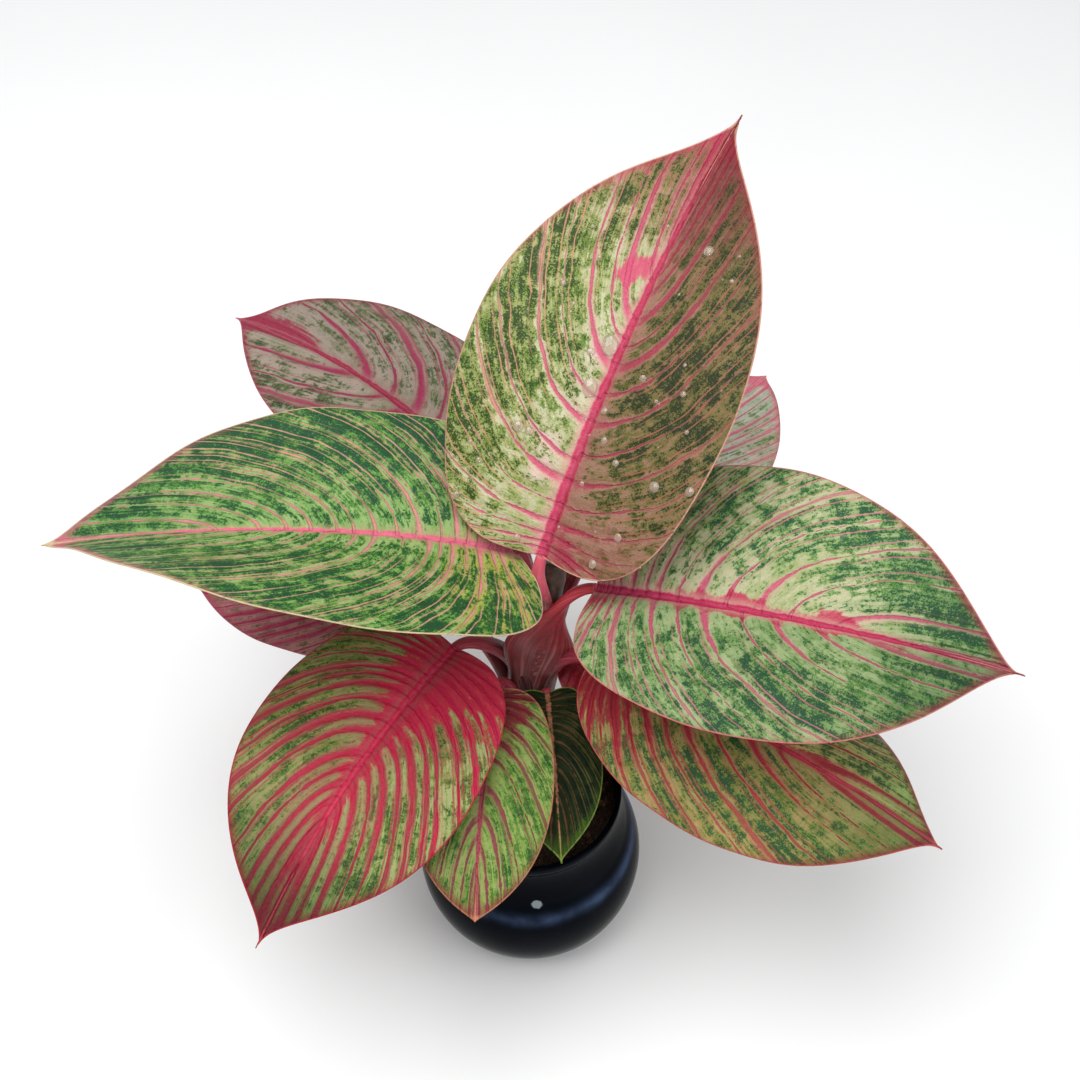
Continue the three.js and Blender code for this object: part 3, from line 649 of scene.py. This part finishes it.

    # Painted shade on the right half, the tip and the whole blade, the tip's partly the leaf's own
    # tint; then the rim, and a soft grain over everything
    color = blend(isRight, color, leaf["rightPaintedShade"], "MULTIPLY")
    color = blend(rise(along, 0.55, 0.92), color, leaf["tipPaintedShadeAndTint"], "MULTIPLY")
    color = blend(1.0, color, leaf["bladePaintedShade"], "MULTIPLY")
    rimAndTip = calc("MAXIMUM", fall(edgeDistance, 0.0003, 0.0009), rise(along, 0.965, 0.985))
    color = blend(rimAndTip, color, leaf["edge"])
    softGrain = addNode("ValToRGB", {0: add(fine, centred(speckles, 0.8))}).outputs[0]
    color = blend(0.4, color, softGrain, "SOFT_LIGHT")
    if isUnder:
        color = blend(0.55, color, 0x7e7858)
        color = layer(color, rib, leaf["rib"], 0.6)
    relief = add(times(vein, -0.5), times(fine, 0.3), times(speckles, 0.4), times(streaks, 0.35))
    return finishMaterial(material, {
        "Base Color": color, "Roughness": calc("MULTIPLY_ADD", speckles, 0.2, 0.42 if isUnder else 0.27),
        "Specular IOR Level": leaf["gloss"], "Normal": bump(relief, 0.0014, 1.0),
    })


leaves = {leafName: {**plainLeaf, **leaf} for leafName, leaf in leaves.items()}
leafPieces = {}
for seed, (leafName, leaf) in enumerate(leaves.items(), start=3):
    upper = leafMaterial("leafUpper_" + leafName, leaf, seed, False)
    under = leafMaterial("leafUnder_" + leafName, leaf, seed, True)
    leafPieces[leafName] = makeBlade("blade_" + leafName, leaf, [upper, under], seed)
print("leaves made:", len(leafPieces))


# Cane and stalks

caneForm = {
    "line": [(0, 10, 88), (0, 14, 110), (0, 26, 138), (1, 38, 165), (5, 50, 188), (10, 63, 208),
             (14, 76, 224)],
    "footRadius": 10,
    "tipRadius": 7.5,
    "rings": 9,          # leaf scars
    "scar": 0.35,        # how far a scar stands out
}

stalkForm = {
    "gap": 0.34,
    "endRadius": 3,
    "sheathWidth": 11.5,
    "sheathDepth": 6.5,
    "offset": 7,
    "bulge": 3,
    "wingPlace": 0.34,   # where along the stalk a winged sheath is widest
    "groove": 0.42,      # share of the radius that the upper groove takes at the sheath
}

# start: place on the cane; rise and reach: how far the stalk runs on before it bends; facing:
# the side of the cane that the sheath stands on; wing: how far its margins stand out
stalkPlaces = {
    "top": dict(start=0.8, rise=22, reach=16, facing=-125),
    "right": dict(start=0.5, rise=44, reach=18, facing=-98, wing=13),
    "left": dict(start=0.7, rise=30, reach=8, facing=190),
    "back_right": dict(start=0.66, rise=20, reach=22),
    "back_left": dict(start=0.6, rise=26, reach=26),
    "lower_left": dict(start=0.56, rise=22, reach=12),
    "lower_right": dict(start=0.52, rise=24, reach=10),
    "under_left": dict(start=0.42, rise=22, reach=18),
    "front": dict(start=0.36, rise=16, reach=17),
    "inner_small": dict(start=0.34, rise=12, reach=15),
    "front_small": dict(start=0.24, rise=24, reach=7),
}

# Colours at the foot and at the blade; the darker foot is partly the stalk's own colour and partly
# painted shade in the crown
stalkTonesAndShade = {
    "right": (0x541c18, 0xaa2232),
    "top": (0x50221e, 0xce5468),
    "others": (0x321614, 0x96283a),
}


# Smooth line through the cane's points at shares 0 to 1 of its length
def canePoint(share):
    points = np.array(caneForm["line"], dtype=float)
    ends = np.vstack([2 * points[0] - points[1], points, 2 * points[-1] - points[-2]])
    dense = []
    for i in range(1, len(ends) - 2):
        p0, p1, p2, p3 = ends[i - 1:i + 3]
        for w in np.linspace(0, 1, 24, endpoint=False):
            dense.append(0.5 * (2 * p1 + (p2 - p0) * w + (2 * p0 - 5 * p1 + 4 * p2 - p3) * w ** 2
                                + (3 * p1 - p0 - 3 * p2 + p3) * w ** 3))
    dense = np.array(dense + [points[-1]])
    walked = np.concatenate([[0], np.cumsum(np.linalg.norm(np.diff(dense, axis=0), axis=1))])
    share = np.asarray(share) * walked[-1]
    return np.stack([np.interp(share, walked, dense[:, k]) for k in range(3)], -1)


# A closed tube: centres and widthways directions by row, and half sizes by row and turn
def makeTube(name, node, material, centre, sideways, halfSize, columns, rows):
    bm = startGrid(columns, rows)
    across, along = gridShares(bm)
    turn = 2 * math.pi * across
    middle = centre(along)
    ahead = unit(centre(np.minimum(along + 0.01, 1)) - centre(np.maximum(along - 0.01, 0)))
    side = sideways(along)
    side = unit(side - ahead * np.sum(side * ahead, axis=1)[:, None])
    normal = np.cross(side, ahead)
    wide, deep = halfSize(along, turn)
    point = middle + side * (wide * np.sin(turn))[:, None] + normal * (deep * np.cos(turn))[:, None]
    placeVerts(bm, point * mm)
    bmesh.ops.remove_doubles(bm, verts=bm.verts, dist=2e-6)
    rims = [edge for edge in bm.edges if edge.is_boundary]
    bmesh.ops.holes_fill(bm, edges=rims, sides=0)
    bmesh.ops.recalc_face_normals(bm, faces=bm.faces)
    return finishPiece(bm, name, node, [material])


def stalkMaterial(name, seed, lower, upper):
    material, tree = newMaterial(name)
    along = attribute(tree, "shareAlong")
    around = attribute(tree, "shareAcross")
    streakPlace = addNode("CombineXYZ", {0: times(around, 42.0), 1: times(along, 2.2), 2: float(seed)})
    streaks = noise(streakPlace.outputs[0], 1.0, 3, 0.6)
    spots = noise(ownCoordinate(tree, (seed * 0.3, seed * 0.7, 0.0)), 240, 3, 0.6)
    # Darker towards the foot: partly the stalk's own colour, partly painted shade in the crown
    color = blend(rise(add(along, centred(spots, 0.5)), 0.15, 0.75), lower, upper)
    color = layer(color, rise(streaks, 0.45, 0.7), 0xd68886, 0.3)
    color = layer(color, fall(streaks, 0.3, 0.46), 0x8c2436, 0.4)
    color = layer(color, rise(spots, 0.62, 0.72), 0x602c24, 0.3)
    return finishMaterial(material, {
        "Base Color": color, "Roughness": calc("MULTIPLY_ADD", spots, 0.2, 0.3), "Specular IOR Level": 0.3,
        "Normal": bump(streaks, 0.0004, 0.6),
    })


def makeStalk(name, leaf, seed):
    place = stalkPlaces[name]
    share = place["start"]
    start = canePoint(share)
    upCane = unit(canePoint(min(1, share + 0.01)) - canePoint(share - 0.01))
    base = np.array(leaf["base"], dtype=float)
    ahead, across, _ = (part[0] for part in leafAxes(leaf, np.zeros(1)))
    outward = base - start
    outward[2] = 0
    outward = unit(unit(outward) + np.array([ahead[0], ahead[1], 0]) / math.hypot(ahead[0], ahead[1]))
    if "facing" in place:
        facing = math.radians(place["facing"])
        outward = np.array([math.cos(facing), math.sin(facing), 0])
    foot = start + outward * stalkForm["offset"]
    end = base - ahead * stalkForm["gap"]
    handles = [foot, foot + upCane * place["rise"], end - ahead * place["reach"], end]
    size = min(1, 0.55 + leaf["length"] / 400)
    tangential = np.array([-outward[1], outward[0], 0])
    if tangential @ across < 0:
        tangential = -tangential

    # A winged sheath stands a little further out, clear of the cane
    def centre(t):
        t = t[:, None]
        bulge = stalkForm["bulge"] * np.exp(-((t - stalkForm["wingPlace"]) / 0.2) ** 2) * ("wing" in place)
        return ((1 - t) ** 3 * handles[0] + 3 * (1 - t) ** 2 * t * handles[1]
                + 3 * (1 - t) * t ** 2 * handles[2] + t ** 3 * handles[3]) + outward * bulge

    def sideways(t):
        t = t[:, None]
        return tangential * (1 - t) + across * t

    def halfSize(t, turn):
        fade = (1 - t) ** 1.6
        end = stalkForm["endRadius"] * size
        width = stalkForm["sheathWidth"] * size
        depth = stalkForm["sheathDepth"] * size
        wing = place.get("wing", 0) * np.exp(-((t - stalkForm["wingPlace"]) / 0.16) ** 2)
        # The upper face is hollowed, most where the sheath clasps
        facing = np.cos(turn) * grooveSign
        flat = 1 - wing / max(1, place.get("wing", 0))
        groove = 1 - flat * (0.16 + (stalkForm["groove"] - 0.16) * fade) * np.clip(facing, 0, 1) ** 3
        ridge = 1 + 0.012 * np.sin(turn * 9 + seed) * (0.4 + fade)
        return (end + (width - end) * fade) * ridge + wing, (end + (depth - end) * fade) * groove * ridge

    # The hollow lies on the side that faces up at the blade and towards the cane at the foot
    middleAhead = unit(centre(np.array([0.55])) - centre(np.array([0.45])))[0]
    middleNormal = np.cross(sideways(np.array([0.5]))[0], middleAhead)
    grooveSign = 1 if middleNormal[2] - 0.3 * (middleNormal @ outward) > 0 else -1
    footToneAndShade, upperTone = stalkTonesAndShade.get(name, stalkTonesAndShade["others"])
    material = stalkMaterial("stalk_" + name, seed, footToneAndShade, upperTone)
    return makeTube("petiole_" + name + "_stalk", "petiole_" + name, material, centre, sideways,
                    halfSize, 40, 70)


for seed, (leafName, leaf) in enumerate(leaves.items(), start=20):
    makeStalk(leafName, leaf, seed)


def caneMaterial():
    material, tree = newMaterial("caneSkin")
    spots = noise(ownCoordinate(tree), 160, 4, 0.6)
    rings = noise(ownCoordinate(tree, scale=(0.2, 0.2, 1.0)), 300, 3, 0.6)
    color = blend(rise(spots, 0.4, 0.65), 0x3a261c, 0x5c402e)
    color = layer(color, rise(rings, 0.5, 0.66), 0x281a14, 0.5)
    return finishMaterial(material, {
        "Base Color": color, "Roughness": calc("MULTIPLY_ADD", spots, 0.25, 0.45),
        "Normal": bump(add(rings, spots), 0.0006, 0.6),
    })


def caneSize(t, turn):
    radius = caneForm["footRadius"] + (caneForm["tipRadius"] - caneForm["footRadius"]) * t
    scar = np.exp(-((t * caneForm["rings"] % 1 - 0.5) / 0.09) ** 2) * caneForm["scar"]
    radius = radius - caneForm["scar"] + scar + 0.12 * np.sin(turn * 5 + t * 20)
    return radius, radius


def caneSideways(t):
    return np.array([1.0, 0, 0]) + 0 * t[:, None]


makeTube("cane_stem", "cane", caneMaterial(), canePoint, caneSideways, caneSize, 48, 120)
print("cane and stalks made")


# Pot

potForm = {
    "bellyRadius": 66, "bellyHeight": 47, "wall": 1.8, "floor": 3, "footInner": 40, "footOuter": 45,
    "recess": 3, "padRadius": 14, "shoulderHeight": 80, "neckRadius": 51.2, "neckHeight": 108,
    "lipRadius": 52.6, "height": 117, "drainHoles": 8, "drainRadius": 3, "drainCircle": 27,
    "sideStep": 2.5, "segments": 128,
    "reflectionRingHeight": 72.2, "reflectionRingWidth": 3.6,        # painted reflection: a paler, duller ring round the shoulder
    "paintedGlint": (4.4, -56, 83.5), "paintedGlintSize": 4.2,  # small painted highlight on the front
}


def potRadius(z):
    def arc(h):
        return math.sqrt(potForm["bellyRadius"] ** 2 - (h - potForm["bellyHeight"]) ** 2)
    shoulder = potForm["shoulderHeight"]
    if z <= shoulder:
        return arc(z)
    t = (z - shoulder) / (potForm["neckHeight"] - shoulder)
    return arc(shoulder) + (potForm["neckRadius"] - arc(shoulder)) * math.sin(t * math.pi / 2)


def sideProfile(low, high, inset):
    points = []
    z = low
    while z < high - 0.5:
        points.append((potRadius(z) - inset, z))
        z += potForm["sideStep"]
    return points


def spinProfile(profile, segments):
    bm = bmesh.new()
    verts = [bm.verts.new((r * mm, 0, z * mm)) for r, z in profile]
    edges = [bm.edges.new(pair) for pair in zip(verts, verts[1:])]
    bmesh.ops.spin(bm, geom=verts + edges, cent=(0, 0, 0), axis=(0, 0, 1), angle=2 * math.pi,
                   steps=segments, use_merge=True)
    bmesh.ops.remove_doubles(bm, verts=bm.verts, dist=1e-6)
    bmesh.ops.recalc_face_normals(bm, faces=bm.faces)
    return bm


# Blue-black plastic with dust specks, a painted reflection ring round the shoulder and a painted highlight
def potMaterial():
    material, tree = newMaterial("potPlastic")
    place = ownCoordinate(tree)
    haze = noise(place, 30, 3, 0.6)
    grain = noise(place, 700, 2, 0.5)
    dust = rise(noise(place, 420, 4, 0.75), 0.66, 0.78)
    height = addNode("SeparateXYZ", {0: place}).outputs[2]
    # Painted reflection: a paler blue band round the shoulder, a little rougher too
    fromReflectionRing = calc("DIVIDE", minus(height, potForm["reflectionRingHeight"] * mm), potForm["reflectionRingWidth"] * mm)
    reflectionRing = times(calc("EXPONENT", times(fromReflectionRing, fromReflectionRing, -1.0)), rise(haze, 0.2, 0.7))
    color = blend(rise(haze, 0.35, 0.7), 0x030509, 0x06090f)
    color = layer(color, reflectionRing, 0x465878, 0.75)
    color = layer(color, dust, 0x46423e, 0.1)
    # Painted highlight: a small pale spot on the front of the pot, a little rougher too
    paintedGlintPlace = Vector(potForm["paintedGlint"]) * mm
    toPaintedGlint = addNode("VectorMath", {0: place, 1: paintedGlintPlace}, operation="DISTANCE").outputs[1]
    ragged = calc("MULTIPLY_ADD", noise(place, 500, 2, 0.6), 0.0024, toPaintedGlint)
    paintedGlint = fall(ragged, (potForm["paintedGlintSize"] - 0.6) * mm, (potForm["paintedGlintSize"] + 0.6) * mm)
    color = layer(color, paintedGlint, 0x8a969c, 0.85)
    rough = calc("MULTIPLY_ADD", haze, 0.12, 0.1)
    wavy = noise(place, 45, 2, 0.5)
    return finishMaterial(material, {
        "Base Color": color, "Roughness": calc("MULTIPLY_ADD", add(reflectionRing, paintedGlint), 0.2, rough),
        "Specular IOR Level": 0.05, "IOR": 1.3, "Specular Tint": tint(0xc8dcff),
        "Normal": bump(calc("MULTIPLY_ADD", grain, 0.04, wavy), 0.0006, 0.3),
    })


def makePot():
    p = potForm
    floorTop = p["recess"] + p["floor"]
    profile = [
        (0, 0), (p["padRadius"] - 0.4, 0), (p["padRadius"], 0.3), (p["padRadius"] + 1, p["recess"]),
        (p["footInner"] - 1, p["recess"]), (p["footInner"], 0.3), (p["footInner"] + 0.5, 0),
        (p["footOuter"] - 0.4, 0), (potRadius(2) - 0.1, 1.6),
        *sideProfile(3.0, p["neckHeight"], 0), (p["neckRadius"], p["neckHeight"]),
        (p["neckRadius"] + 0.5, p["neckHeight"] + 1.2), (p["lipRadius"] - 0.2, p["neckHeight"] + 2.6),
        (p["lipRadius"], p["neckHeight"] + 3.6), (p["lipRadius"], p["height"] - 1.6),
        (p["lipRadius"] - 0.4, p["height"] - 0.5), (p["lipRadius"] - 1.2, p["height"]),
        (p["neckRadius"] - p["wall"] + 0.5, p["height"]), (p["neckRadius"] - p["wall"], p["height"] - 0.5),
        (p["neckRadius"] - p["wall"], p["neckHeight"]),
        *sideProfile(floorTop + 2, p["neckHeight"] - 2, p["wall"])[::-1],
        (potRadius(floorTop) - p["wall"] - 2, floorTop), (0, floorTop),
    ]
    bm = spinProfile(profile, p["segments"])
    pot = finishPiece(bm, "pot_shell", "pot", [potMaterial()])
    # Drain holes through the floor
    radius = p["drainRadius"] * mm
    cutters = bmesh.new()
    for i in range(p["drainHoles"]):
        turn = 2 * math.pi * i / p["drainHoles"]
        spot = (p["drainCircle"] * math.cos(turn), p["drainCircle"] * math.sin(turn), floorTop - 1)
        bmesh.ops.create_cone(
            cutters, cap_ends=True, segments=24, radius1=radius, radius2=radius, depth=9 * mm,
            matrix=Matrix.Translation(Vector(spot) * mm))
    cutter = addObject("drainCutters", meshFrom(cutters, "drainCutters"))
    holes = pot.modifiers.new("drainHoles", "BOOLEAN")
    holes.object = cutter
    holes.operation = "DIFFERENCE"
    holes.solver = "EXACT"
    bpy.context.view_layer.update()
    cutMesh = bpy.data.meshes.new_from_object(pot.evaluated_get(bpy.context.evaluated_depsgraph_get()))
    pot.modifiers.clear()
    pot.data = cutMesh
    cutMesh.shade_smooth()
    cutMesh.set_sharp_from_angle(angle=math.radians(35))
    bpy.data.objects.remove(cutter)


makePot()


# Potting mix with chips of bark on top

mixForm = {
    "height": 106, "crown": 3, "relief": 1.3, "gap": 0.34, "rings": 26, "segments": 96,
    "chips": 260, "chipSize": (0.9, 3.4), "caneMiddle": 12.6, "caneClear": 11,
}


def lump(x, y):
    return mixForm["relief"] * (math.sin(0.55 * x + 0.4 * math.sin(0.31 * y)) * math.cos(0.47 * y + 0.5)
                                + 0.5 * math.sin(0.9 * y + 0.33 * x))


def mixMaterial(name, dark, light):
    material, tree = newMaterial(name)
    place = ownCoordinate(tree)
    crumbs = noise(place, 380, 5, 0.75)
    patches = noise(place, 90, 3, 0.6)
    cells = addNode("TexVoronoi", {"Vector": place, "Scale": 500.0}).outputs["Distance"]
    color = blend(rise(crumbs, 0.36, 0.66), dark, light)
    color = layer(color, rise(patches, 0.55, 0.7), 0x180f0b, 0.5)
    return finishMaterial(material, {
        "Base Color": color, "Roughness": 0.92, "Normal": bump(minus(crumbs, cells), 0.002, 0.9),
    })


def makeMix():
    inset = potForm["wall"] + mixForm["gap"]
    bottom = potForm["recess"] + potForm["floor"] + mixForm["gap"]
    height = mixForm["height"]
    edge = potRadius(height) - inset

    def crowned(r):
        return height + mixForm["crown"] * (1 - (r / edge) ** 2)

    top = [edge * (1 - i / mixForm["rings"]) for i in range(1, mixForm["rings"] + 1)]
    profile = [(0, bottom), (potRadius(bottom) - inset - 2.5, bottom),
               *sideProfile(bottom + 2, height, inset), (edge, height), *((r, crowned(r)) for r in top)]
    bm = spinProfile(profile, mixForm["segments"])
    for vert in bm.verts:
        if vert.co.z > (height + 0.01) * mm:
            vert.co.z += lump(vert.co.x / mm, vert.co.y / mm) * mm
    finishPiece(bm, "soil_mix", "soil",
                [mixMaterial("mix", 0x221610, 0x463022)])
    # Bark chips and crumbs lie on the mix
    rng = random.Random(11)
    bm = bmesh.new()
    for _ in range(mixForm["chips"]):
        r = (edge - 4) * math.sqrt(rng.random())
        turn = rng.uniform(0, 2 * math.pi)
        x, y = r * math.cos(turn), r * math.sin(turn)
        size = rng.uniform(*mixForm["chipSize"])
        z = crowned(r) + lump(x, y) + 0.2 * size
        if math.hypot(x, y - mixForm["caneMiddle"]) < mixForm["caneClear"]:
            continue
        shape = Matrix.Diagonal((size, size * rng.uniform(0.5, 0.9), size * rng.uniform(0.3, 0.5), 1))
        lean = Matrix.Rotation(rng.uniform(-0.5, 0.5), 4, "X")
        lean = lean @ Matrix.Rotation(rng.uniform(-0.5, 0.5), 4, "Y")
        spin = Matrix.Rotation(rng.uniform(0, 2 * math.pi), 4, "Z")
        place = Matrix.Scale(mm, 4) @ Matrix.Translation((x, y, z)) @ spin @ lean @ shape
        made = bmesh.ops.create_icosphere(bm, subdivisions=1, radius=1, matrix=place)
        for vert in made["verts"]:
            vert.co += Vector([rng.uniform(-0.16, 0.16) * size * mm for _ in range(3)])
    finishPiece(bm, "soil_bark", None,
                [mixMaterial("bark", 0x301e14, 0x704e34)], smooth=False)


makeMix()
print("pot and mix made")


# Water drops on the top leaf

dropForm = {"small": 26, "smallRadius": (0.5, 1.0), "largeRadius": 3.5, "largeStretch": 1.35,
            "height": 0.55, "sunk": 0.2}

# Share along the midrib, share across, radius (mm)
waterDrops = [
    (0.456, 0.07, 4.2), (0.358, 0.09, 4.0), (0.427, 0.17, 2.3), (0.70, -0.3, 2.6), (0.324, -0.07, 1.8),
    (0.27, -0.15, 1.9), (0.24, -0.3, 2.0), (0.174, -0.11, 1.5), (0.224, -0.64, 2.9), (0.24, -0.9, 2.6),
    (0.03, -0.4, 2.2), (0.1, -0.52, 2.2), (0.14, 0.62, 1.6), (0.06, 0.69, 1.8), (0.236, 0.45, 2.8),
    (0.234, 0.35, 2.4), (0.415, -0.57, 1.7), (0.384, -0.41, 1.3), (0.42, -0.25, 2.0), (0.61, 0.4, 1.4),
    (0.53, 0.55, 1.6), (0.5, 0.42, 1.3), (0.02, 0.2, 2.0), (0.66, -0.55, 1.4), (0.13, 0.8, 1.4),
    (0.17, 0.72, 1.3), (0.66, 0.52, 1.2), (0.47, -0.5, 1.2), (0.35, -0.72, 1.3),
]


# Clear water is mostly its highlights: a thin pale body, which is a painted reflection, with a hard gloss
def dropMaterial():
    material, tree = newMaterial("waterDrop")
    ripple = noise(ownCoordinate(tree), 260, 2, 0.5)
    return finishMaterial(material, {
        "Base Color": blend(ripple, 0xe2c4b8, 0xc0aa8e), "Roughness": 0.03, "IOR": 1.6,
        "Coat Weight": 1.0, "Coat Roughness": 0.02, "Coat IOR": 1.8, "Alpha": 0.42,
    })


def makeDrops(blade):
    mesh = blade.data
    count = len(mesh.vertices)
    spots = np.zeros(count * 3, dtype=np.float32)
    mesh.vertices.foreach_get("co", spots)
    spots = spots.reshape(-1, 3)
    readings = {}
    for key in ("alongLeaf", "acrossLeaf"):
        readings[key] = np.zeros(count, dtype=np.float32)
        mesh.attributes[key].data.foreach_get("value", readings[key])
    rng = random.Random(5)
    drops = list(waterDrops)
    for _ in range(dropForm["small"]):
        along, across = rng.uniform(0.05, 0.75), rng.uniform(-0.85, 0.85)
        drops.append((along, across, rng.uniform(*dropForm["smallRadius"])))
    bm = bmesh.new()
    for along, across, radius in drops:
        away = (readings["alongLeaf"] - along) ** 2 * 9 + (readings["acrossLeaf"] - across) ** 2
        index = int(np.argmin(away))
        normal = mesh.vertices[index].normal
        turn = normal.to_track_quat("Z", "Y").to_matrix().to_4x4()
        stretch = dropForm["largeStretch"] if radius > dropForm["largeRadius"] else rng.uniform(1.0, 1.15)
        shape = Matrix.Diagonal((radius, radius * stretch, radius * dropForm["height"], 1))
        place = Matrix.Translation(spots[index]) @ Matrix.Scale(mm, 4) @ turn @ shape
        made = bmesh.ops.create_icosphere(bm, subdivisions=3 if radius > 1.5 else 2, radius=1, matrix=place)
        # Flatten the part below the leaf's face, so that the drop is a dome
        for vert in made["verts"]:
            depth = (vert.co - Vector(spots[index])) @ normal
            if depth < 0:
                vert.co -= normal * depth * (1 - dropForm["sunk"])
    bmesh.ops.recalc_face_normals(bm, faces=bm.faces)
    return finishPiece(bm, "water_drops", None, [dropMaterial()])


makeDrops(leafPieces["top"])
print("drops made")


# Floor, light and camera

def makeFloor():
    bm = bmesh.new()
    bmesh.ops.create_grid(bm, x_segments=1, y_segments=1, size=4.0)
    floor = addObject("floor", meshFrom(bm, "floor"))
    material, tree = newMaterial("floorPaint")
    cloud = noise(ownCoordinate(tree), 3, 2, 0.5)
    color = blend(cloud, 0xf0f0f0, 0xf6f6f6)
    floor.data.materials.append(finishMaterial(material, {"Base Color": color, "Roughness": 0.9}))


studio = {
    "lights": {
        "key": {"power": 38, "size": 1.8, "place": (-0.5, 0.0, 2.0)},
        "fill": {"power": 12, "size": 1.6, "place": (1.3, -0.6, 1.3)},
        "catch": {"power": 2.0, "size": 0.16, "place": (0.16, -1.45, 0.14)},
    },
    "skyColor": (0.97, 0.98, 1.0, 1.0), "skyStrength": 0.45,
    "aim": (0.0, 0.05, 0.2),
}


def addLight(name, place, size, power):
    data = bpy.data.lights.new(name, "AREA")
    data.size = size
    data.energy = power
    light = addObject(name, data)
    light.location = place
    aim = Vector(studio["aim"]) - Vector(place)
    light.rotation_euler = aim.to_track_quat("-Z", "Y").to_euler()


makeFloor()
for lightName, settings in studio["lights"].items():
    addLight(lightName, **settings)

world = bpy.data.worlds.new("studioSky")
world.use_nodes = True
sky = world.node_tree.nodes["Background"]
sky.inputs["Color"].default_value = studio["skyColor"]
sky.inputs["Strength"].default_value = studio["skyStrength"]
bpy.context.scene.world = world
bpy.context.scene.view_settings.view_transform = "Standard"

viewpoint = {"place": (6.055, -403.423, 815.09), "tilt": 40, "lens": 46.67, "sensor": 36}
cameraData = bpy.data.cameras.new("photoCamera")
cameraData.lens = viewpoint["lens"]
cameraData.sensor_width = viewpoint["sensor"]
cameraData.clip_end = 20
camera = addObject("photoCamera", cameraData)
camera.location = Vector(viewpoint["place"]) * mm
camera.rotation_euler = (math.radians(viewpoint["tilt"]), 0, 0)
bpy.context.scene.camera = camera

bpy.context.view_layer.update()
